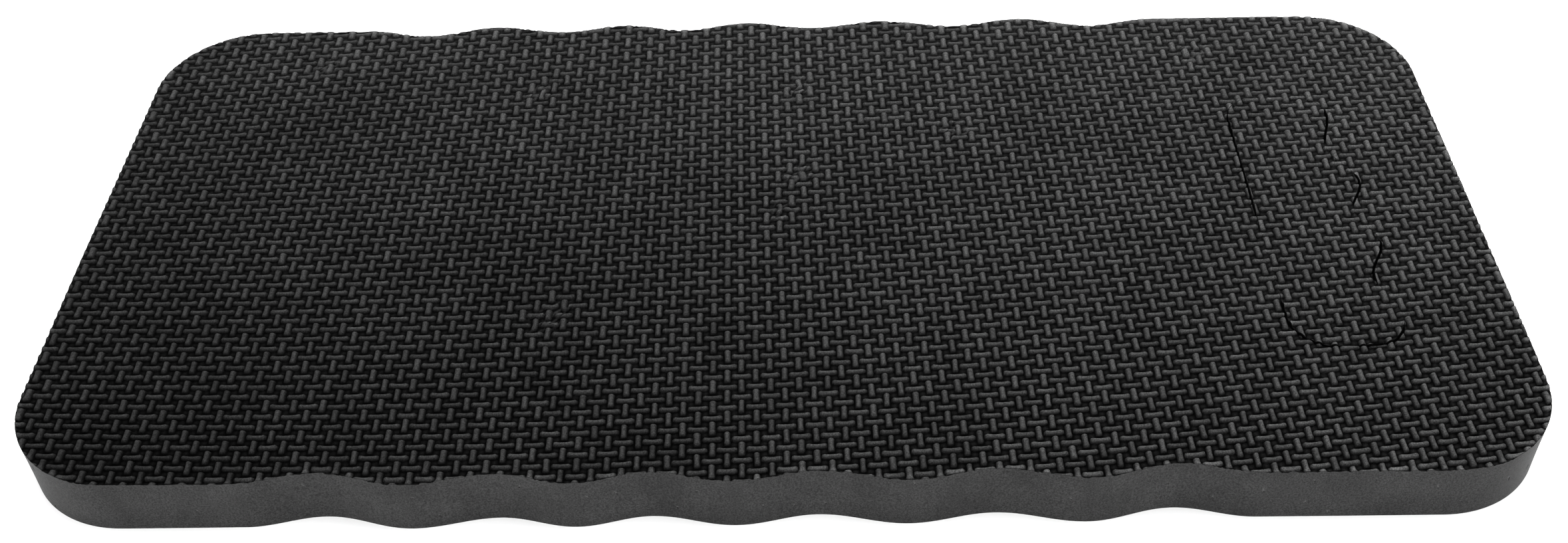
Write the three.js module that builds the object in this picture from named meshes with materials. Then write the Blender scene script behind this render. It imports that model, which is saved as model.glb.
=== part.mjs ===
// Garden kneeling pad: a slab of closed-cell foam with rounded corners and finger waves along
// both long edges, and a die-cut hand hole near one end, still filled by its foam plug.
// Millimetres, +Z up. The origin is the middle of the underside, and +X runs towards the hand hole.
import * as THREE from "three";

// The slab.
const LENGTH = 450;
const WIDTH = 217; // between the straight stretches of the two long edges
const THICKNESS = 20;
const CORNER_RADIUS = 34.5;

// The finger waves, the same on both long edges: six shallow notches with five soft bulges between.
const NOTCH_CENTRES = [-131, -80, -36, 12, 63, 114];
const END_NOTCH_DEPTH = 3.6;
const NOTCH_DEPTH = 2.5;
const BULGE_HEIGHT = 1.1;
const WAVE_RUN_OUT = 23; // from an end notch's centre to the straight edge

// The hand hole: a straight inner side, round ends, and a wavy outer side for the fingers.
const HOLE_HALF_LENGTH = 60;
const HOLE_INNER_X = 154.8;
const NEAR_INNER_RADIUS = 13;
const FAR_INNER_RADIUS = 11;
const NEAR_OUTER_CORNER = { x: 190.4, radius: 12 };
const FAR_OUTER_CORNER = { x: 189.3, radius: 9 };
const HOLE_WAVE_TURNS = [ // between the two outer corners: y along the side, and x
  { along: -30.5, across: 185.9 },
  { along: -14.5, across: 191.8 },
  { along: 0.5, across: 187 },
  { along: 14.8, across: 192.1 },
  { along: 32.8, across: 185.3 },
];

const STEPS_PER_HALF_WAVE = 8;
const KERF = 0.3; // gap that the die leaves round the plug
const ARC_STEPS = 12; // in a quarter circle

// A quarter circle about (x, y), starting at the given angle and turning anticlockwise.
function quarterArc(x, y, radius, startAngle) {
  const points = [];
  for (let step = 0; step <= ARC_STEPS; step++) {
    const angle = startAngle + (step / ARC_STEPS) * (Math.PI / 2);
    points.push(new THREE.Vector2(x + radius * Math.cos(angle), y + radius * Math.sin(angle)));
  }
  return points;
}

// A wave through its turning points, with a cosine from each one to the next, and its slope.
function waveThrough(turns) {
  const wave = [{ ...turns[0], slope: 0 }];
  for (let i = 1; i < turns.length; i++) {
    const from = turns[i - 1];
    const run = turns[i].along - from.along;
    const rise = turns[i].across - from.across;
    for (let step = 1; step <= STEPS_PER_HALF_WAVE; step++) {
      const part = step / STEPS_PER_HALF_WAVE;
      wave.push({
        along: from.along + run * part,
        across: from.across + (rise * (1 - Math.cos(Math.PI * part))) / 2,
        slope: ((rise / run) * Math.PI * Math.sin(Math.PI * part)) / 2,
      });
    }
  }
  return wave;
}

// The wavy stretch of a long edge, left to right: along the edge, and how far in from it.
function edgeWave() {
  const lastNotch = NOTCH_CENTRES.length - 1;
  const turns = [{ along: NOTCH_CENTRES[0] - WAVE_RUN_OUT, across: 0 }];
  NOTCH_CENTRES.forEach((x, notch) => {
    const isEndNotch = notch === 0 || notch === lastNotch;
    turns.push({ along: x, across: isEndNotch ? END_NOTCH_DEPTH : NOTCH_DEPTH });
    if (notch < lastNotch) {
      turns.push({ along: (x + NOTCH_CENTRES[notch + 1]) / 2, across: -BULGE_HEIGHT });
    }
  });
  turns.push({ along: NOTCH_CENTRES[lastNotch] + WAVE_RUN_OUT, across: 0 });
  return waveThrough(turns);
}

// The slab's outline, anticlockwise from the left end of the front edge's wave.
function slabOutline() {
  const cornerX = LENGTH / 2 - CORNER_RADIUS;
  const cornerY = WIDTH / 2 - CORNER_RADIUS;
  const wave = edgeWave();
  const front = wave.map(({ along, across }) => new THREE.Vector2(along, across - WIDTH / 2));
  const back = wave.map(({ along, across }) => new THREE.Vector2(along, WIDTH / 2 - across)).reverse();
  return [
    ...front,
    ...quarterArc(cornerX, -cornerY, CORNER_RADIUS, -Math.PI / 2),
    ...quarterArc(cornerX, cornerY, CORNER_RADIUS, 0),
    ...back,
    ...quarterArc(-cornerX, cornerY, CORNER_RADIUS, Math.PI / 2),
    ...quarterArc(-cornerX, -cornerY, CORNER_RADIUS, Math.PI),
  ];
}

// The wavy side of the hand hole between its two outer corners, moved inwards by the inset.
function holeWave(inset) {
  const turns = [
    { along: NEAR_OUTER_CORNER.radius - HOLE_HALF_LENGTH, across: NEAR_OUTER_CORNER.x },
    ...HOLE_WAVE_TURNS,
    { along: HOLE_HALF_LENGTH - FAR_OUTER_CORNER.radius, across: FAR_OUTER_CORNER.x },
  ];
  return waveThrough(turns).slice(1, -1).map(({ along, across, slope }) => {
    const inwards = new THREE.Vector2(-1, slope).normalize();
    return new THREE.Vector2(across, along).addScaledVector(inwards, inset);
  });
}

// A round corner of the hand hole, moved inwards by the inset. The sides say which corner it is: -1 or 1.
function holeCorner(x, radius, sideX, sideY, startAngle, inset) {
  const y = sideY * (HOLE_HALF_LENGTH - radius);
  return quarterArc(x - sideX * radius, y, radius - inset, startAngle);
}

// The hand hole's outline, anticlockwise from its near inner corner, moved inwards by the inset.
function holeOutline(inset) {
  const near = NEAR_OUTER_CORNER;
  const far = FAR_OUTER_CORNER;
  return [
    ...holeCorner(HOLE_INNER_X, NEAR_INNER_RADIUS, -1, -1, Math.PI, inset),
    ...holeCorner(near.x, near.radius, 1, -1, -Math.PI / 2, inset),
    ...holeWave(inset),
    ...holeCorner(far.x, far.radius, 1, 1, 0, inset),
    ...holeCorner(HOLE_INNER_X, FAR_INNER_RADIUS, -1, 1, Math.PI / 2, inset),
  ];
}

// A flat-topped foam piece of the pad's full thickness, standing on the ground.
function foamPiece(name, shape) {
  const geometry = new THREE.ExtrudeGeometry(shape, { depth: THICKNESS, bevelEnabled: false });
  const foam = new THREE.MeshStandardMaterial({ color: 0x2b2b2c, roughness: 0.85, metalness: 0 });
  const mesh = new THREE.Mesh(geometry, foam);
  mesh.name = name;
  return mesh;
}

function padSlab() {
  const shape = new THREE.Shape(slabOutline());
  shape.holes.push(new THREE.Path(holeOutline(0)));
  return foamPiece("pad_slab", shape);
}

function handHolePlug() {
  return foamPiece("hand_hole_plug", new THREE.Shape(holeOutline(KERF)));
}

const kneelingPad = new THREE.Group();
kneelingPad.add(padSlab(), handHolePlug());

export default kneelingPad;
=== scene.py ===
"""The looks of a foam garden kneeling pad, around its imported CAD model.

The slab and its hand-hole plug are cut out of blocks of foam that carry the woven emboss as real relief, so
the strands, the die-cut walls, the cut round the plug and the pores in the walls are all geometry. Lengths
are in millimetres in the pad's own frame, and become metres where a mesh, a light or the camera is made.
"""

import math

import bmesh
import bpy
import numpy as np
from mathutils import Matrix, Vector


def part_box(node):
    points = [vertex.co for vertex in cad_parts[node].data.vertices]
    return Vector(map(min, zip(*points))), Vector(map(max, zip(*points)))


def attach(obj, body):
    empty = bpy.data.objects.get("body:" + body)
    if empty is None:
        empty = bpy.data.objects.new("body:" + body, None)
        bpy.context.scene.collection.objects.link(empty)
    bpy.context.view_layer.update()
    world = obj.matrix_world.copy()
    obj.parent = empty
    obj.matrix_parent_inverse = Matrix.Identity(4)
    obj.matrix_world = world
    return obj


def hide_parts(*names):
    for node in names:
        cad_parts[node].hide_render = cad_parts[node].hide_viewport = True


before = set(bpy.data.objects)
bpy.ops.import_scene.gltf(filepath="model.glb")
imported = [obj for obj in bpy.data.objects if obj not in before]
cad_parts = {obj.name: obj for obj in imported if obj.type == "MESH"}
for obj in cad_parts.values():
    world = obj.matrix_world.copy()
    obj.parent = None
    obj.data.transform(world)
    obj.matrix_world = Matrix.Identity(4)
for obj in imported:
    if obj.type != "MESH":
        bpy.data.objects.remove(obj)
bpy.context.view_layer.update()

MM = 0.001
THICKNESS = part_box("pad_slab")[1][2] / MM
PLUG_LOW, PLUG_HIGH = (np.array(corner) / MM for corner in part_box("hand_hole_plug"))

# The camera looks at a point on the top face.
AIM = (1.87, -25.09, THICKNESS)
CAMERA_DISTANCE = 534.37
CAMERA_HEADING = -1.512  # degrees from +Y towards +X
CAMERA_DIP = 43.687
CAMERA_ROLL = -1.813
CAMERA_LENS = 38.877
SENSOR_WIDTH = 36

# The weave. Each cell holds the float of one strand: an upright one where column + row is even, and else a
# level one. "Far" is towards +Y, and "right" towards +X.
COLUMN_PITCH = 4.2065
ROW_PITCH = 4.1247
ROW_RISE = 0.1802  # how far a row climbs from one column to the next
COLUMN_LEAN = -0.1127  # how far a column leans from one row to the next
COLUMN_FAN = -0.00242  # extra lean, for each column away from the middle
COLUMN_CROWD = (-0.99, -0.71)  # the columns' bunching towards the ends
ROW_BOW = 4.68  # sag of the rows' ends at mid width, twice this at the near edge and none at the far one
ROW_CROWD = 1.38
WEAVE_CENTRE = (0.36, -3.05)
HALF_COLUMNS = 50
HALF_ROWS = 25
CORRECTIONS = 12  # rounds that turn a place on the pad into a place in the weave

# A float. Heights are shares of the relief.
RELIEF = 1.3  # from the pits to the strand tops
UPRIGHT_HALF = (1.02, 1.22, 2.55)  # half width in the middle, half width at the ends, half length
LEVEL_HALF = (0.9, 1.04, 2.95)
FLOAT_CROWN = 0.9  # height of its middle
FLOAT_END_RISE = 0.1  # how much higher its ends are
FLOAT_END = 0.9  # how long the rounding of an end is
FLOAT_ROUND = 2.6  # the powers that shape its section
FLOAT_FLANK = 0.7
UPRIGHT_PLUMP = 1.02  # how much fatter upright floats are than the widths above
LEVEL_SMILE = 0.27  # how far the middle of a level float sags
LEVEL_DULL = 0.3  # how much darker level floats are than upright ones
UPRIGHT_SHIFT = 0.1  # towards the far edge
UPRIGHT_TILT = 0.06  # how much of the relief the far ends stand above the middle, at the pad's middle
UPRIGHT_TILT_RISE = 0.04  # and how much more at the pad's right end
LEVEL_TILT = -0.08  # how much of the relief the right ends stand above the middle, at the pad's right end
UPRIGHT_SWELL = 0.12  # how much fatter the floats are at the far edge than at mid width
LEVEL_SWELL = 0.04
LEVEL_SINK = 0.2  # how much lower level floats lie at the far edge
STRAND_SEED = 11
WIDTH_SPREAD = 0.05  # one float's random differences from the next
LENGTH_SPREAD = 0.02
HEIGHT_SPREAD = 0.03
SHIFT_SPREAD = 0.05
TWIST_SPREAD = 0.02

# The foam blocks' grid.
BLOCK_COLUMNS = (-57, 59)
BLOCK_ROWS = (-32, 32)
PLUG_MARGIN = 3  # cells
LINES_IN_CELL = (-0.36, -0.265, -0.2, -0.115, 0.0, 0.115, 0.2, 0.265, 0.36, 0.5)
UNDERSIDE_STEP = 5  # top grid lines to one underside grid line

# What the die and use have done to the top face.
RIM_REACH = 2.0  # how far in from the outer edge the weave is crushed
RIM_FILL = 0.9  # how much of the pits' depth is lost at the edge
RIM_SPREAD = 0.3  # how much wider the floats are there
RIM_ROLL = 0.1  # how far the very edge rolls over
KERF_REACH = 0.9  # the same for the cut round the plug
KERF_FILL = 0.75
KERF_DROP = 0.15  # how far the cut's lips sink
GAPE_DROP = 0.35  # more, where the cut gapes
SWELL = 0.1  # slow rise and fall of the top face, to either side
SWELL_LENGTH = 85
SWELL_SEED = 5
CREASES = [  # x, y, degrees from +X, length
    (-85, 72, 48, 15), (-167, 87, 40, 12), (7, 70, 55, 14), (7, 24, 42, 12),
    (0, 5, 38, 10), (-70, -43, 50, 16), (60, 46, 35, 11), (150, 89, 44, 12),
]
CREASE_DEPTH = 0.55
CREASE_WIDTH = 0.35  # of one groove
CREASE_REACH = 4.5  # to either side of a crease's middle line
CREASE_STEP = 2.3  # from one groove of a crease to the next
CREASE_WANDER = (0.5, 2.5, 8)  # how far a groove strays, over what length, and the seed
CREASE_TEAR = (1.4, 9)  # the length of a torn stretch, and the seed
LIP_PLACE = 1.8  # from a groove's middle to its raised lip, in groove widths
LIP_RISE = 0.3  # the lip's height to the groove's depth
JUMBLE = 0.2  # how far creased floats stray, in cells
JUMBLE_ALONG = (3.1, 31)  # over what length they stray from column to column, and the seed
JUMBLE_UP = (2.7, 32)  # and from row to row
PIT_REACH = 0.3  # how far the pits between the floats reach, in cells

# The cuts.
WALL_DRAFT = 0.08  # how far in the top of the outer wall leans
WALL_HOLLOW = 0.12  # how far its middle falls in
WALL_LEVELS = 12  # rings of points in a cutter's wall
CUTTER_EXTRA = 5  # how far a cutter stands out above and below the foam
CUT_CLOSED = 0.12  # the gap round the plug where the cut is closed
CUT_OPEN = 0.85  # and where it gapes fully
CUT_EASE = 1.6  # how steeply a stretch opens from its ends
OPEN_CUTS = [  # x, y, reach and openness of the stretches where the cut round the plug gapes
    (154, 25, 38, 0.6), (156, -50, 15, 0.5), (167, -60, 17, 0.7), (182, -61, 16, 0.75), (188, 44, 13, 0.6),
    (190, 11, 11, 0.6), (188, -23, 14, 0.7),
]
PORES = 90
PORE_SEED = 21
PORE_RADIUS = (0.14, 0.3)
PORE_STRETCH = 4  # depth to radius
PORE_HEIGHTS = (1.5, THICKNESS - 2.5)

OUTLINE_STEP = 0.9  # between the points of a smooth outline
TOUCH = 0.01  # how far below the top a point may be to count as on it
BATCH = 3000  # points measured at a time, to save memory
SHEET_GAP = 3  # between the islands of the UV sheet
SHEET_NAME = "OFBake"  # the UV layer that lay_out makes for the materials
WEAVE, WALL, SKIN, SLIT = range(4)  # material slots

# Brightnesses of the foam.
STRAND_GREY = 0.04
CREST_POWER = 1.6  # how quickly the colour darkens down a strand's sides: painted shade on the flanks, painted light on the tops
PAINTED_LIGHT_SLOPE = (0.98, 1.5, 3.1, 12)  # painted light, brighter towards the right and the far edge: in the middle, and how it grows with X, Y and Y squared in metres
PIT_GREY = (0.0001, 0.0014)  # painted shade in the pits, at the near edge and at the far one
EDGE_Y = 0.11  # about how far from the middle they are, in metres
OPEN_PIT_GREY = 0.0055  # more, in the middle of a pit, where the painted shade is lighter
LIP_GREY = 0.012  # more, on a crease's lips: painted highlight
WALL_GREY = 0.0225
UNDERSIDE_GREY = 0.024

# The studio.
FLOOR_REACH = 4000.0
FLOOR_LEVEL = -0.05
WORLD_SIDE = (0.6, 0.8, 0)  # the side that the brightest light comes from
WORLD_STRENGTH = (1.05, 1.6)
LAMPS = {  # place, size and power
    "top_light": ((150, 330, 1000), 900, 13),
    "front_light": ((-100, -1600, 1100), 1400, 20),
}


def ease(value):
    """A smooth step, from 0 at 0 to 1 at 1."""
    value = np.clip(value, 0, 1)
    return value * value * (3 - 2 * value)


def slow_noise(x, y, length, seed):
    """Smooth noise between -1 and 1 over the plan, with hills about the given length apart."""
    cells = 64
    table = np.random.default_rng(seed).uniform(-1, 1, (cells, cells))
    u = x / length + cells / 2
    v = y / length + cells / 2
    i = np.floor(u).astype(int)
    j = np.floor(v).astype(int)
    a = ease(u - i)
    b = ease(v - j)
    near = table[i % cells, j % cells] * (1 - a) + table[(i + 1) % cells, j % cells] * a
    j = j + 1
    far = table[i % cells, j % cells] * (1 - a) + table[(i + 1) % cells, j % cells] * a
    return near * (1 - b) + far * b


# ---- The outlines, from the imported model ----


def loop_length(loop):
    """How long a closed loop is."""
    return np.linalg.norm(np.roll(loop, -1, 0) - loop, axis=1).sum()


def outline_loops(node):
    """The outlines of a CAD node's top face in millimetres, longest first, with the foam on their left."""
    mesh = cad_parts[node].data
    sides = set()
    for polygon in mesh.polygons:
        corners = [tuple(round(c / MM, 3) for c in mesh.vertices[v].co) for v in polygon.vertices]
        if min(corner[2] for corner in corners) > THICKNESS - TOUCH:
            sides.update(zip(corners, corners[1:] + corners[:1]))
    ahead = {a: b for a, b in sides if (b, a) not in sides}
    loops = []
    while ahead:
        loop = [min(ahead)]
        while ahead[loop[-1]] != loop[0]:
            loop.append(ahead[loop[-1]])
        for corner in loop:
            del ahead[corner]
        loops.append(np.array(loop)[:, :2])
    return sorted(loops, key=loop_length, reverse=True)


def resample(loop):
    """The same closed loop as a smooth curve, in even short steps."""
    n = len(loop)
    lengths = np.linalg.norm(np.roll(loop, -1, 0) - loop, axis=1)
    at = np.concatenate([[0], np.cumsum(lengths)])
    count = int(at[-1] / OUTLINE_STEP)
    wanted = np.arange(count) * at[-1] / count
    k = np.clip(np.searchsorted(at, wanted, side="right") - 1, 0, n - 1)
    gap = lengths[k][:, None]
    part = (wanted - at[k])[:, None] / gap
    before, start, end, after = loop[k - 1], loop[k], loop[(k + 1) % n], loop[(k + 2) % n]
    slope_start = (end - before) * gap / (lengths[k - 1][:, None] + gap)
    slope_end = (after - start) * gap / (lengths[(k + 1) % n][:, None] + gap)
    blend = 3 * part**2 - 2 * part**3
    lead = part**3 - 2 * part**2 + part
    trail = part**3 - part**2
    return (1 - blend) * start + lead * slope_start + blend * end + trail * slope_end


def outward(loop):
    """Unit normals of an anticlockwise loop, pointing out of it."""
    along = np.roll(loop, -1, 0) - np.roll(loop, 1, 0)
    normal = np.column_stack([along[:, 1], -along[:, 0]])
    return normal / np.linalg.norm(normal, axis=1)[:, None]


def edge_distance(points, loop, reach):
    """How far each plan point is from a closed loop, up to reach, and the nearest loop point's number."""
    corner = loop.min(0) - 3 * reach
    cells = ((loop - corner) / reach).astype(int)
    touched = np.zeros(cells.max(0) + 4, bool)
    for shift in np.ndindex(3, 3):
        touched[tuple((cells + np.array(shift) - 1).T)] = True
    where = np.clip(((points - corner) / reach).astype(int), 0, np.array(touched.shape) - 1)
    near = np.flatnonzero(touched[tuple(where.T)])
    distance = np.full(len(points), float(reach))
    nearest = np.full(len(points), -1)
    step = np.roll(loop, -1, 0) - loop
    length2 = (step**2).sum(1)
    for part in np.array_split(near, len(near) // BATCH + 1):
        to = points[part][:, None] - loop[None]
        along = np.clip((to * step).sum(2) / length2, 0, 1)
        gaps = np.linalg.norm(to - along[..., None] * step, axis=2)
        nearest[part] = gaps.argmin(1)
        distance[part] = np.minimum(gaps.min(1), reach)
    return distance, nearest


def gape(points):
    """How open the cut round the plug is near each plan point, 0 to 1."""
    amount = np.zeros(len(points))
    for x, y, reach, openness in OPEN_CUTS:
        away = np.hypot(points[:, 0] - x, points[:, 1] - y) / reach
        amount = np.maximum(amount, openness * ease(CUT_EASE * (1 - away)))
    return amount


def cut_gap(loop):
    """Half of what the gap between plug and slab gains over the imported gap, for each point of a loop."""
    return ((CUT_CLOSED + (CUT_OPEN - CUT_CLOSED) * gape(loop)) - PACKED_GAP)[:, None] / 2


OUTER, HOLE = (resample(loop) for loop in outline_loops("pad_slab"))
HOLE = HOLE[::-1]  # anticlockwise, like the others
(PLUG,) = (resample(loop) for loop in outline_loops("hand_hole_plug"))
PACKED_GAP = HOLE[:, 0].max() - PLUG[:, 0].max()
CUT_LINE = HOLE - outward(HOLE) * PACKED_GAP / 2
HOLE = HOLE + outward(HOLE) * cut_gap(HOLE)
PLUG = PLUG - outward(PLUG) * cut_gap(PLUG)
OUTER_TOP = OUTER - outward(OUTER) * WALL_DRAFT


# ---- The weave ----


def weave_to_plan(column, row):
    """Where a weave column and row cross on the pad's top face."""
    across = column / HALF_COLUMNS
    up = row / HALF_ROWS
    x = WEAVE_CENTRE[0] + COLUMN_PITCH * column + COLUMN_LEAN * row + COLUMN_FAN * column * row
    x = x + COLUMN_CROWD[0] * across**2 + COLUMN_CROWD[1] * across**3
    y = WEAVE_CENTRE[1] + ROW_PITCH * row + ROW_RISE * column
    return x, y + ROW_BOW * across**2 * (1 - up) + ROW_CROWD * up**2


def plan_to_weave(x, y):
    """The weave column and row at a point of the top face, by repeated correction."""
    column = x / COLUMN_PITCH
    row = y / ROW_PITCH
    for _ in range(CORRECTIONS):
        x_now, y_now = weave_to_plan(column, row)
        column = column + (x - x_now) / COLUMN_PITCH
        row = row + (y - y_now) / ROW_PITCH
    return column, row


SPREAD_CELLS = (160, 100)
STRAND_SPREAD = np.random.default_rng(STRAND_SEED).normal(size=(5, *SPREAD_CELLS)).clip(-2, 2)


def strand_spread(column, row):
    """The random differences of the floats in the given cells: width, length, height, shift and twist."""
    return STRAND_SPREAD[:, column + SPREAD_CELLS[0] // 2, row + SPREAD_CELLS[1] // 2]


def float_height(across, along, half, spread, plump, tilt):
    """Height of one strand's float, 0 in the pits and 1 on top, at a distance across and along it."""
    width, length, height, shift, twist = spread
    half_length = half[2] * (1 + LENGTH_SPREAD * length)
    end = np.minimum((along / half_length) ** 2, 1)
    half_width = (half[0] + (half[1] - half[0]) * end) * (plump + WIDTH_SPREAD * width)
    across = across + SHIFT_SPREAD * shift + TWIST_SPREAD * twist * along
    past_core = np.maximum(np.abs(along) - (half_length - FLOAT_END), 0) / FLOAT_END
    rim = np.minimum((np.abs(across) / half_width) ** FLOAT_ROUND + past_core**FLOAT_ROUND, 1)
    crown = FLOAT_CROWN + HEIGHT_SPREAD * height + FLOAT_END_RISE * end + tilt * along / half_length
    return crown * (1 - rim) ** FLOAT_FLANK


def weave_height(column, row, widening):
    """The relief at weave coordinates, 0 in the pits and 1 on the strand tops; and for the strand that
    shows, its tone and whether it is an upright one."""
    far = row / HALF_ROWS
    i = np.rint(column).astype(int)
    j = 2 * np.rint((row - i) / 2).astype(int) + i
    along = (row - j) * ROW_PITCH - UPRIGHT_SHIFT
    plump = widening * (UPRIGHT_PLUMP + UPRIGHT_SWELL * far)
    tilt = UPRIGHT_TILT + UPRIGHT_TILT_RISE * column / HALF_COLUMNS
    upright_spread = strand_spread(i, j)
    upright = float_height((column - i) * COLUMN_PITCH, along, UPRIGHT_HALF, upright_spread, plump, tilt)
    b = np.rint(row).astype(int)
    a = 2 * np.rint((column - b - 1) / 2).astype(int) + b + 1
    along = (column - a) * COLUMN_PITCH
    sag = LEVEL_SMILE * (1 - (along / LEVEL_HALF[2]) ** 2)
    plump = widening * (1 + LEVEL_SWELL * far)
    tilt = LEVEL_TILT * column / HALF_COLUMNS
    level_spread = strand_spread(a, b)
    level = float_height((row - b) * ROW_PITCH + sag, along, LEVEL_HALF, level_spread, plump, tilt)
    level = level * (1 - LEVEL_SINK * ease(far))
    on_top = upright > level
    # level floats are made darker than upright ones, and darker still towards the far edge
    tone = np.where(on_top, upright_spread[2], level_spread[2] - far - LEVEL_DULL)
    return np.maximum(upright, level), tone, on_top


def crease_marks(x, y):
    """How much of the creases' grooves, raised lips and disturbed foam is at a point, each 0 to 1."""
    groove, lip, jumble = np.zeros((3, *x.shape))
    wander = CREASE_WANDER[0] * slow_noise(x, y, *CREASE_WANDER[1:])
    torn = ease(0.5 + 1.5 * slow_noise(x, y, *CREASE_TEAR))
    for crease_x, crease_y, degrees, length in CREASES:
        angle = math.radians(degrees)
        along = (x - crease_x) * math.cos(angle) + (y - crease_y) * math.sin(angle)
        across = (y - crease_y) * math.cos(angle) - (x - crease_x) * math.sin(angle) + wander
        near = np.exp(-((across / CREASE_REACH) ** 2) - (along / (length / 2)) ** 2)
        line = (across + CREASE_STEP / 2) % CREASE_STEP - CREASE_STEP / 2
        jumble = np.maximum(jumble, near)
        depth = torn * ease(2 * near)
        groove = np.maximum(groove, depth * np.exp(-((line / CREASE_WIDTH) ** 2)))
        lip = np.maximum(lip, depth * np.exp(-((line / CREASE_WIDTH - LIP_PLACE) ** 2)))
    return groove, lip, jumble


def foam_relief(x, y, column, row):
    """What the top face's shape and colour follow at plan points, given their weave coordinates too."""
    points = np.column_stack([x.ravel(), y.ravel()])
    rim = 1 - edge_distance(points, OUTER_TOP, RIM_REACH)[0].reshape(x.shape) / RIM_REACH
    kerf = 1 - edge_distance(points, CUT_LINE, KERF_REACH)[0].reshape(x.shape) / KERF_REACH
    groove, lip, jumble = crease_marks(x, y)
    column = column + JUMBLE * jumble * slow_noise(x, y, *JUMBLE_ALONG)
    row = row + JUMBLE * jumble * slow_noise(x, y, *JUMBLE_UP)
    height, tone, on_upright = weave_height(column, row, 1 + RIM_SPREAD * rim**2)
    spared = 1 - on_upright * np.minimum(2 * height, 1)
    corner = np.hypot(column - np.floor(column) - 0.5, row - np.floor(row) - 0.5)
    return {
        "height": height,
        "tone": tone / 2,
        "open": 1 - ease(corner / PIT_REACH),
        "rim": rim,
        "kerf": kerf,
        "gap": kerf * ease(2 * gape(points)).reshape(x.shape),
        "groove": groove * spared,
        "lip": lip * spared,
    }


def top_surface(x, y, column, row):
    """The height above the ground of the woven face."""
    marks = foam_relief(x, y, column, row)
    filled = np.maximum(RIM_FILL * marks["rim"] ** 3, KERF_FILL * marks["kerf"] ** 2)
    depth = RELIEF * (1 - marks["height"]) * (1 - filled)
    z = THICKNESS - depth - RIM_ROLL * marks["rim"] ** 2
    z = z - KERF_DROP * marks["kerf"] ** 2 - GAPE_DROP * marks["gap"] ** 2
    z = z + SWELL * slow_noise(x, y, SWELL_LENGTH, SWELL_SEED)
    return z - CREASE_DEPTH * (marks["groove"] - LIP_RISE * marks["lip"])


# ---- Meshes ----


def new_mesh(name, points, faces, slots):
    """An object from points in millimetres and arrays of faces, whose faces all have as many corners."""
    mesh = bpy.data.meshes.new(name)
    mesh.vertices.add(len(points))
    mesh.vertices.foreach_set("co", (points * MM).astype(np.float32).ravel())
    loops = np.concatenate([f.ravel() for f in faces]).astype(np.int32)
    totals = np.concatenate([np.full(len(f), f.shape[1]) for f in faces])
    mesh.loops.add(len(loops))
    mesh.loops.foreach_set("vertex_index", loops)
    mesh.polygons.add(len(totals))
    mesh.polygons.foreach_set("loop_start", np.concatenate([[0], np.cumsum(totals)[:-1]]).astype(np.int32))
    slot = np.concatenate([np.full(len(f), s) for f, s in zip(faces, slots)])
    mesh.polygons.foreach_set("material_index", slot.astype(np.int32))
    mesh.update(calc_edges=True)
    mesh.validate()
    obj = bpy.data.objects.new(name, mesh)
    bpy.context.scene.collection.objects.link(obj)
    return obj


def grid_quads(ids):
    """The four-cornered faces of a grid of vertex numbers, facing up."""
    return np.stack([ids[:-1, :-1], ids[1:, :-1], ids[1:, 1:], ids[:-1, 1:]], -1).reshape(-1, 4)


def weave_lines(low, high):
    """Grid lines through whole weave cells, cut to a whole number of underside steps."""
    lines = (np.arange(low, high + 1)[:, None] + np.array(LINES_IN_CELL)[None]).ravel()
    return lines[: (len(lines) - 1) // UNDERSIDE_STEP * UNDERSIDE_STEP + 1]


def weave_block(name, columns, rows):
    """A closed block of foam with the woven relief on top, over a range of weave columns and rows."""
    column, row = np.meshgrid(weave_lines(*columns), weave_lines(*rows), indexing="ij")
    x, y = weave_to_plan(column, row)
    top = np.stack([x, y, top_surface(x, y, column, row)], -1)
    low = top[::UNDERSIDE_STEP, ::UNDERSIDE_STEP].copy()
    low[..., 2] = 0
    top_id = np.arange(x.size).reshape(x.shape)
    low_id = x.size + np.arange(low[..., 0].size).reshape(low.shape[:2])

    def side(upper, lower):
        """The wall under one edge of the top, each face from six top points down to two low ones."""
        starts = range(0, len(upper) - 1, UNDERSIDE_STEP)
        fans = [upper[k : k + UNDERSIDE_STEP + 1][::-1] for k in starts]
        return np.array([[*fan, lower[k], lower[k + 1]] for k, fan in enumerate(fans)])

    sides = [
        side(top_id[:, 0], low_id[:, 0]),
        side(top_id[-1], low_id[-1]),
        side(top_id[::-1, -1], low_id[::-1, -1]),
        side(top_id[0, ::-1], low_id[0, ::-1]),
    ]
    faces = [grid_quads(top_id), grid_quads(low_id)[:, ::-1], *sides]
    points = np.concatenate([top.reshape(-1, 3), low.reshape(-1, 3)])
    return new_mesh(name, points, faces, [WEAVE, SKIN] + [WALL] * 4)


def prism(name, outline, slot, draft=0.0, hollow=0.0):
    """A closed upright cutter with the outline's shape, whose wall is a grid that leans in and bows in."""
    n = len(outline)
    z = np.linspace(-CUTTER_EXTRA, THICKNESS + CUTTER_EXTRA, WALL_LEVELS)
    part = np.clip(z / THICKNESS, 0, 1)
    insets = draft * part**2 + hollow * np.sin(math.pi * part)
    side = outward(outline)
    plans = [outline - side * inset for inset in insets]
    points = np.concatenate([np.column_stack([plan, np.full(n, level)]) for plan, level in zip(plans, z)])
    ids = np.arange(n * WALL_LEVELS).reshape(WALL_LEVELS, n)
    ahead = np.roll(ids, -1, 1)
    walls = np.stack([ids[:-1], ahead[:-1], ahead[1:], ids[1:]], -1).reshape(-1, 4)
    return new_mesh(name, points, [walls, ids[:1, ::-1], ids[-1:]], [slot] * 3)


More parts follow.
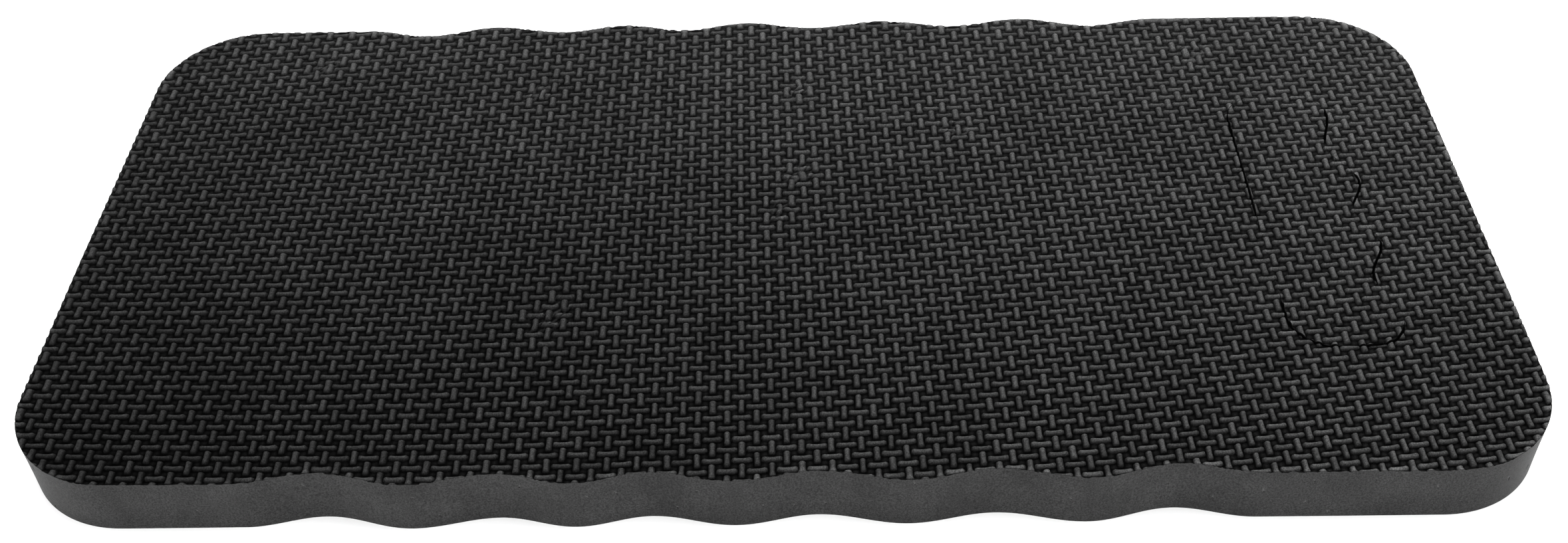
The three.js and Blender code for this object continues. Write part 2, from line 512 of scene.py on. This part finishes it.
def pore_balls(name, outline):
    """Small long balls along the wall that stands on the outline, pointing into it at random places."""
    random = np.random.default_rng(PORE_SEED)
    normals = outward(outline)
    stretch = Matrix.Diagonal((1, 1, PORE_STRETCH, 1))
    bm = bmesh.new()
    for _ in range(PORES):
        spot = random.integers(len(outline))
        x, y = outline[spot]
        place = Matrix.Translation(Vector((x, y, random.uniform(*PORE_HEIGHTS))) * MM)
        turn = Vector((*normals[spot], 0)).to_track_quat("Z", "Y").to_matrix().to_4x4()
        radius = random.uniform(*PORE_RADIUS) * MM
        bmesh.ops.create_icosphere(bm, subdivisions=2, radius=radius, matrix=place @ turn @ stretch)
    for face in bm.faces:
        face.material_index = WALL
    mesh = bpy.data.meshes.new(name)
    bm.to_mesh(mesh)
    bm.free()
    balls = bpy.data.objects.new(name, mesh)
    bpy.context.scene.collection.objects.link(balls)
    return balls


def cut(piece, cutter, operation):
    """Cuts piece with cutter, which is used up."""
    for obj in (piece, cutter):
        if not obj.data.materials:
            for material in MATERIALS:
                obj.data.materials.append(material)
    modifier = piece.modifiers.new("cut", "BOOLEAN")
    modifier.operation = operation
    modifier.object = cutter
    modifier.solver = "MANIFOLD"
    graph = bpy.context.evaluated_depsgraph_get()
    mesh = bpy.data.meshes.new_from_object(piece.evaluated_get(graph), depsgraph=graph)
    piece.modifiers.remove(modifier)
    whole = piece.data
    piece.data = mesh
    bpy.data.meshes.remove(whole)
    bpy.data.objects.remove(cutter)


def read(collection, name, width=1, kind=np.float64):
    """A mesh collection's property as an array."""
    values = np.zeros(len(collection) * width, kind)
    collection.foreach_get(name, values)
    return values.reshape(-1, width) if width > 1 else values


def mark_edges(mesh):
    """Smooth faces, with a sharp edge where the woven face, the walls and the underside meet."""
    mesh.shade_smooth()
    totals = read(mesh.polygons, "loop_total", 1, np.int32)
    slot = np.repeat(read(mesh.polygons, "material_index", 1, np.int32), totals)
    edge = read(mesh.loops, "edge_index", 1, np.int32)
    low = np.full(len(mesh.edges), len(MATERIALS))
    high = np.full(len(mesh.edges), -1)
    np.minimum.at(low, edge, slot)
    np.maximum.at(high, edge, slot)
    mesh.attributes.new("sharp_edge", "BOOLEAN", "EDGE").data.foreach_set("value", low != high)


def mark_points(mesh):
    """Stores what the foam's materials need to know at each vertex."""
    points = read(mesh.vertices, "co", 3) / MM
    x, y, _ = points.T
    marks = foam_relief(x, y, *plan_to_weave(x, y))
    for name, values in marks.items():
        mesh.attributes.new(name, "FLOAT", "POINT").data.foreach_set("value", values.astype(np.float32))


def unrolled(points, loop):
    """How far round a closed loop each plan point lies."""
    step = np.roll(loop, -1, 0) - loop
    lengths = np.linalg.norm(step, axis=1)
    nearest = edge_distance(points, loop, SHEET_GAP)[1]
    along = ((points - loop[nearest]) * step[nearest]).sum(1) / lengths[nearest] ** 2
    return (np.cumsum(lengths) - lengths)[nearest] + np.clip(along, 0, 1) * lengths[nearest]


def lay_out(mesh, walls):
    """Lays the faces out on one square UV sheet: the woven face, rows of unrolled wall, the underside."""
    points = read(mesh.vertices, "co", 3) / MM
    starts = read(mesh.polygons, "loop_start", 1, np.int32)
    totals = read(mesh.polygons, "loop_total", 1, np.int32)
    slot = np.repeat(read(mesh.polygons, "material_index", 1, np.int32), totals)
    vertex = read(mesh.loops, "vertex_index", 1, np.int32)
    x, y, z = points[vertex].T
    flat = np.column_stack([x - points[:, 0].min(), y - points[:, 1].min()])
    if np.ptp(points[:, 1]) > np.ptp(points[:, 0]):
        flat = np.column_stack([flat[:, 1], points[:, 0].max() - x])
    row_length, used = flat.max(0)
    for kind, loop in walls.items():
        used = used + SHEET_GAP
        turn = loop_length(loop)
        where = np.flatnonzero(slot == kind)
        distance = np.zeros(len(slot))
        distance[where] = unrolled(np.column_stack([x, y])[where], loop)
        first = np.repeat(distance[starts], totals)[where]
        row = np.floor(first / row_length)
        ahead = (distance[where] - first + turn / 2) % turn - turn / 2
        flat[where, 0] = first + ahead - row * row_length + SHEET_GAP
        flat[where, 1] = z[where] + used + row * (THICKNESS + SHEET_GAP)
        used = used + np.ceil(turn / row_length) * (THICKNESS + SHEET_GAP)
    under = slot == SKIN
    flat[under] = flat[under] / 2 + (0, used)
    sheet = max(flat.max(0)) + SHEET_GAP
    mesh.uv_layers.new(name=SHEET_NAME).uv.foreach_set("vector", (flat / sheet).astype(np.float32).ravel())


def finish_piece(piece, node, body, walls):
    """Marks a piece for its materials, lays it out, and puts it in its CAD node's place."""
    mark_edges(piece.data)
    mark_points(piece.data)
    lay_out(piece.data, walls)
    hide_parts(node)
    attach(piece, body)


def make_pad():
    """The slab, with its hand hole and the pores in its outer wall."""
    piece = weave_block("kneeling_pad_foam", BLOCK_COLUMNS, BLOCK_ROWS)
    cut(piece, prism("outer_cutter", OUTER, WALL, WALL_DRAFT, WALL_HOLLOW), "INTERSECT")
    cut(piece, pore_balls("pores", OUTER), "DIFFERENCE")
    cut(piece, prism("hole_cutter", HOLE, SLIT), "DIFFERENCE")
    finish_piece(piece, "pad_slab", "pad", {WALL: OUTER, SLIT: HOLE})


def make_plug():
    """The plug, whose weave runs on from the slab's."""
    ends = zip(plan_to_weave(*PLUG_LOW[:2]), plan_to_weave(*PLUG_HIGH[:2]))
    columns, rows = ((int(low) - PLUG_MARGIN, int(high) + PLUG_MARGIN) for low, high in ends)
    piece = weave_block("hand_hole_plug_foam", columns, rows)
    cut(piece, prism("plug_cutter", PLUG, SLIT), "INTERSECT")
    finish_piece(piece, "hand_hole_plug", "plug", {SLIT: PLUG})


# ---- Materials ----


class Nodes:
    """Short calls for building one material's node tree."""

    def __init__(self, name):
        self.material = bpy.data.materials.new(name)
        self.material.use_nodes = True
        self.tree = self.material.node_tree
        self.shader = self.tree.nodes["Principled BSDF"]
        self.place = self.add("ShaderNodeTexCoord").outputs["Object"]

    def add(self, kind, **settings):
        """A new node of the given kind."""
        node = self.tree.nodes.new(kind)
        for name, value in settings.items():
            setattr(node, name, value)
        return node

    def link(self, value, socket):
        """Feeds a socket from another node's output, or sets it to a number."""
        if isinstance(value, bpy.types.NodeSocket):
            self.tree.links.new(value, socket)
        else:
            socket.default_value = value

    def axis(self, name):
        """The distance along an axis of the object, in metres."""
        node = self.add("ShaderNodeSeparateXYZ")
        self.link(self.place, node.inputs[0])
        return node.outputs[name]

    def attribute(self, name):
        """A value stored on the mesh by mark_points."""
        return self.add("ShaderNodeAttribute", attribute_name=name).outputs["Fac"]

    def noise(self, size, detail=2.0, roughness=0.5, stretch=(1, 1, 1)):
        """Noise between 0 and 1, with features about size millimetres across."""
        mapping = self.add("ShaderNodeMapping")
        mapping.inputs["Scale"].default_value = stretch
        self.link(self.place, mapping.inputs["Vector"])
        node = self.add("ShaderNodeTexNoise")
        self.link(mapping.outputs["Vector"], node.inputs["Vector"])
        node.inputs["Scale"].default_value = 1 / (size * MM)
        node.inputs["Detail"].default_value = detail
        node.inputs["Roughness"].default_value = roughness
        return node.outputs["Fac"]

    def math(self, operation, *values):
        """One sum of numbers and other nodes' outputs."""
        node = self.add("ShaderNodeMath", operation=operation)
        for value, socket in zip(values, node.inputs):
            self.link(value, socket)
        return node.outputs[0]

    def remap(self, value, from_low, from_high, to_low, to_high, smooth=False):
        """Turns the range from_low to from_high into to_low to to_high, and stays within it."""
        node = self.add("ShaderNodeMapRange", interpolation_type="SMOOTHSTEP" if smooth else "LINEAR")
        for item, socket in zip((value, from_low, from_high, to_low, to_high), node.inputs):
            self.link(item, socket)
        return node.outputs[0]

    def grey(self, brightness):
        """Joins a brightness to the shader's colour."""
        node = self.add("ShaderNodeCombineColor")
        for socket in node.inputs:
            self.link(brightness, socket)
        self.link(node.outputs[0], self.shader.inputs["Base Color"])

    def bump(self, height, distance):
        """Fine unevenness of the surface, distance millimetres deep."""
        node = self.add("ShaderNodeBump")
        node.inputs["Strength"].default_value = 1.0
        node.inputs["Distance"].default_value = distance * MM
        self.link(height, node.inputs["Height"])
        self.link(node.outputs["Normal"], self.shader.inputs["Normal"])


def woven_foam():
    """The embossed skin: painted shade black in the pits and down the strands' sides, grey tops with
    painted light, and painted shade and highlights along the cuts.
    """
    m = Nodes("woven_foam")
    # painted light and shade: the colour darkens from the strand tops down their sides into the pits
    crest = m.math("POWER", m.attribute("height"), CREST_POWER)
    grain = m.noise(0.4, 3.0, 0.65)
    chips = m.noise(1.3, 2.0)
    patches = m.noise(60, 2.0)
    top = m.math("MULTIPLY", m.remap(patches, 0.3, 0.7, 0.85, 1.12), m.remap(grain, 0.38, 0.62, 0.55, 1.45))
    top = m.math("MULTIPLY", top, m.remap(m.attribute("tone"), -1, 1, 0.86, 1.14))
    # painted highlight: the crushed floats along the outer edge are made up to half as bright again
    top = m.math("MULTIPLY", top, m.remap(m.attribute("rim"), 0.0, 0.6, 1.0, 1.5, smooth=True))
    # painted shade: the very outer edge, where it rolls over, is darkened
    top = m.math("MULTIPLY", top, m.remap(m.attribute("rim"), 0.88, 1.0, 1.0, 0.15))
    # painted highlight: bright flecks on the strands along the cut round the plug and on the creases' lips
    painted_glints = m.math("MAXIMUM", m.attribute("kerf"), m.attribute("lip"))
    painted_glints = m.math("MULTIPLY", painted_glints, m.remap(chips, 0.45, 0.6, 0.1, 1.0, smooth=True))
    top = m.math("MULTIPLY", top, m.math("MULTIPLY_ADD", painted_glints, 0.9, 1.0))
    # painted shade in the creases' grooves
    top = m.math("MULTIPLY", top, m.remap(m.attribute("groove"), 0.2, 0.8, 1.0, 0.2))
    # painted shade: the woven face turns black along the cut where it gapes
    top = m.math("MULTIPLY", top, m.remap(m.attribute("gap"), 0.42, 0.6, 1.0, 0.02, smooth=True))
    # painted light: the whole woven face grows brighter towards the right and the far edge
    y_slope = m.math("MULTIPLY_ADD", m.axis("Y"), PAINTED_LIGHT_SLOPE[3], PAINTED_LIGHT_SLOPE[2])
    painted_light = m.math("MULTIPLY_ADD", m.axis("Y"), y_slope, PAINTED_LIGHT_SLOPE[0])
    top = m.math("MULTIPLY", top, m.math("MULTIPLY_ADD", m.axis("X"), PAINTED_LIGHT_SLOPE[1], painted_light))
    # painted shade: the pits are near black, a little lighter towards the far edge and in a pit's middle
    painted_pit_shade = m.remap(m.axis("Y"), -EDGE_Y, EDGE_Y, *PIT_GREY)
    dark = m.math("MULTIPLY_ADD", m.attribute("open"), OPEN_PIT_GREY, painted_pit_shade)
    # painted highlight on the creases' raised lips
    dark = m.math("MULTIPLY_ADD", m.attribute("lip"), LIP_GREY, dark)
    m.grey(m.math("MULTIPLY", top, m.math("MULTIPLY_ADD", crest, STRAND_GREY, dark)))
    m.shader.inputs["Roughness"].default_value = 0.6
    m.shader.inputs["Specular IOR Level"].default_value = 0.01
    m.bump(grain, 0.12)
    return m.material


def wall_foam(name):
    """Even grey closed cells with fine mottling, and faint marks of the blade; and its brightness."""
    m = Nodes(name)
    mottle = m.noise(0.55, 5.0, 0.8)
    patches = m.noise(14, 3.0)
    streaks = m.noise(2.5, 1.0, 0.5, (1, 1, 0.06))
    patches = m.remap(patches, 0.35, 0.65, 0.86, 1.14)
    tone = m.math("MULTIPLY", m.remap(mottle, 0.4, 0.6, 0.45, 1.55), patches)
    tone = m.math("MULTIPLY", tone, m.remap(streaks, 0.3, 0.7, 0.95, 1.05))
    m.shader.inputs["Roughness"].default_value = 0.75
    m.bump(mottle, 0.06)
    return m, m.math("MULTIPLY", tone, WALL_GREY)


def cut_foam():
    """The outer die-cut walls, with the soft bloom of cut cells at a glancing angle."""
    m, brightness = wall_foam("cut_foam")
    m.grey(brightness)
    m.shader.inputs["Specular IOR Level"].default_value = 0.1
    m.shader.inputs["Sheen Weight"].default_value = 0.09
    m.shader.inputs["Sheen Roughness"].default_value = 0.35
    return m.material


def slit_foam():
    """The walls of the cut round the plug, darkened with painted shade near the top where the cut gapes."""
    m, brightness = wall_foam("slit_foam")
    near_top = m.remap(m.axis("Z"), 0.014, 0.018, 0.0, 1.0, smooth=True)
    # painted shade inside the slit, near the top where the cut gapes
    painted_slit_shade = m.math("MULTIPLY", m.attribute("gap"), near_top)
    m.grey(m.math("MULTIPLY", brightness, m.remap(painted_slit_shade, 0.0, 0.6, 1.0, 0.02)))
    m.shader.inputs["Specular IOR Level"].default_value = 0.05
    return m.material


def underside_skin():
    """The plain skin underneath: dull, finely pebbled, and rubbed paler in patches and fine scratches."""
    m = Nodes("underside_skin")
    pebbles = m.noise(0.8, 3.0, 0.65)
    patches = m.noise(35, 4.0, 0.6)
    scratches = m.noise(1.6, 2.0, 0.5, (0.05, 1, 1))
    tone = m.math("MULTIPLY", m.remap(patches, 0.3, 0.7, 0.7, 1.3), m.remap(pebbles, 0.38, 0.62, 0.6, 1.4))
    tone = m.math("MULTIPLY", tone, m.remap(scratches, 0.58, 0.7, 1.0, 1.5, smooth=True))
    m.grey(m.math("MULTIPLY", tone, UNDERSIDE_GREY))
    m.shader.inputs["Roughness"].default_value = 0.7
    m.shader.inputs["Specular IOR Level"].default_value = 0.15
    m.bump(pebbles, 0.3)
    return m.material


def floor_paint():
    """Plain pale paint."""
    m = Nodes("studio_floor")
    m.shader.inputs["Base Color"].default_value = (0.95, 0.95, 0.95, 1)
    m.shader.inputs["Roughness"].default_value = 0.9
    return m.material


# ---- Studio ----


def make_camera():
    """The camera, at the distance and angles given above from the point that it looks at."""
    heading, dip, roll = (math.radians(v) for v in (CAMERA_HEADING, CAMERA_DIP, CAMERA_ROLL))
    forward = Vector((math.sin(heading) * math.cos(dip), math.cos(heading) * math.cos(dip), -math.sin(dip)))
    data = bpy.data.cameras.new("camera")
    data.sensor_width = SENSOR_WIDTH
    data.lens = CAMERA_LENS
    camera = bpy.data.objects.new("camera", data)
    turn = forward.to_track_quat("-Z", "Y").to_matrix().to_4x4()
    place = (Vector(AIM) - CAMERA_DISTANCE * forward) * MM
    camera.matrix_world = Matrix.Translation(place) @ turn @ Matrix.Rotation(roll, 4, "Z")
    bpy.context.scene.collection.objects.link(camera)
    bpy.context.scene.camera = camera


def softbox(name, place, size, power):
    """A square lamp in millimetres that faces the pad."""
    data = bpy.data.lights.new(name, "AREA")
    data.size = size * MM
    data.energy = power
    lamp = bpy.data.objects.new(name, data)
    lamp.location = Vector(place) * MM
    lamp.rotation_euler = (-Vector(place)).to_track_quat("-Z", "Y").to_euler()
    bpy.context.scene.collection.objects.link(lamp)


def make_world():
    """White all round, brighter behind the pad and to its right."""
    world = bpy.data.worlds.new("studio")
    world.use_nodes = True
    nodes, links = world.node_tree.nodes, world.node_tree.links
    side = nodes.new("ShaderNodeVectorMath")
    side.operation = "DOT_PRODUCT"
    side.inputs[1].default_value = WORLD_SIDE
    strength = nodes.new("ShaderNodeMapRange")
    for value, socket in zip((-1, 1, *WORLD_STRENGTH), list(strength.inputs)[1:]):
        socket.default_value = value
    links.new(nodes.new("ShaderNodeTexCoord").outputs["Generated"], side.inputs[0])
    links.new(side.outputs["Value"], strength.inputs[0])
    links.new(strength.outputs[0], nodes["Background"].inputs["Strength"])
    nodes["Background"].inputs["Color"].default_value = (1, 1, 1, 1)
    bpy.context.scene.world = world


def make_stage():
    """The floor, the light all round and the lamps."""
    plan = np.array([[-1, -1], [1, -1], [1, 1], [-1, 1]]) * FLOOR_REACH
    points = np.column_stack([plan, np.full(4, FLOOR_LEVEL)])
    floor = new_mesh("floor", points, [np.array([[0, 1, 2, 3]])], [0])
    floor.data.materials.append(floor_paint())
    make_world()
    for name, (place, size, power) in LAMPS.items():
        softbox(name, place, size, power)
    bpy.context.scene.view_settings.view_transform = "Standard"


MATERIALS = [woven_foam(), cut_foam(), underside_skin(), slit_foam()]
make_camera()
make_stage()
make_pad()
make_plug()
